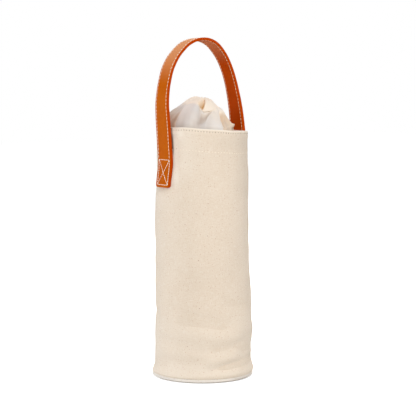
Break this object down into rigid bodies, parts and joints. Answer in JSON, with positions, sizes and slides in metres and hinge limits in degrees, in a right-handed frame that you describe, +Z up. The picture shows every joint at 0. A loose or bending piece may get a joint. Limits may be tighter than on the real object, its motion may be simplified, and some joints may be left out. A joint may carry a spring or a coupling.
{
  "type": "bottle carrier",
  "caption": "Round canvas bottle carrier with a drawn cotton pouch at its mouth and a sewn leather strap handle.",
  "frame": {"origin": "middle of the foot, on the surface that the carrier stands on", "axes": "+Z up, X across the two strap tabs, -Y towards the front; the canvas seam is at +Y"},
  "size_m": [0.1144, 0.1144, 0.3823],
  "materials": {
    "natural_canvas": "matte heavy weave",
    "pouch_cotton": "soft thin weave",
    "tan_leather": "smooth satin",
    "pale_thread": "twisted thread",
    "natural_thread": "twisted thread",
    "draw_cord": "twisted cotton",
    "base_board": "plain grey board"
  },
  "bodies": {
    "carrier": {"canvas_body": "natural_canvas", "rim_facing": "natural_canvas", "base_panel": "natural_canvas", "left_tab_backing": "natural_canvas", "right_tab_backing": "natural_canvas", "lining_sleeve": "pouch_cotton", "lining_base": "pouch_cotton", "pouch_crown": "pouch_cotton", "left_tab_outer_leather": "tan_leather", "left_tab_inner_leather": "tan_leather", "right_tab_outer_leather": "tan_leather", "right_tab_inner_leather": "tan_leather", "left_tab_stitching": "pale_thread", "right_tab_stitching": "pale_thread", "hem_stitching": "pale_thread", "rim_topstitching": "natural_thread", "base_seam_stitching": "natural_thread", "base_board": "base_board"},
    "handle": {"handle_outer_leather": "tan_leather", "handle_inner_leather": "tan_leather", "handle_stitching": "pale_thread"},
    "pouch_mouth": {"mouth_casing": "pouch_cotton", "gathering_cord": "draw_cord"}
  },
  "joints": [
    {"name": "handle_swing", "type": "hinge", "parent": "carrier", "child": "handle", "pos_m": [0, 0, 0.265], "axis": [1, 0, 0], "range_deg": [-50, 50], "stiffness_Nm_per_rad": 0.06},
    {"name": "pouch_press", "type": "slide", "parent": "carrier", "child": "pouch_mouth", "axis": [0, 0, 1], "range_m": [-0.016, 0.008], "deforming": ["pouch_crown"]}
  ]
}
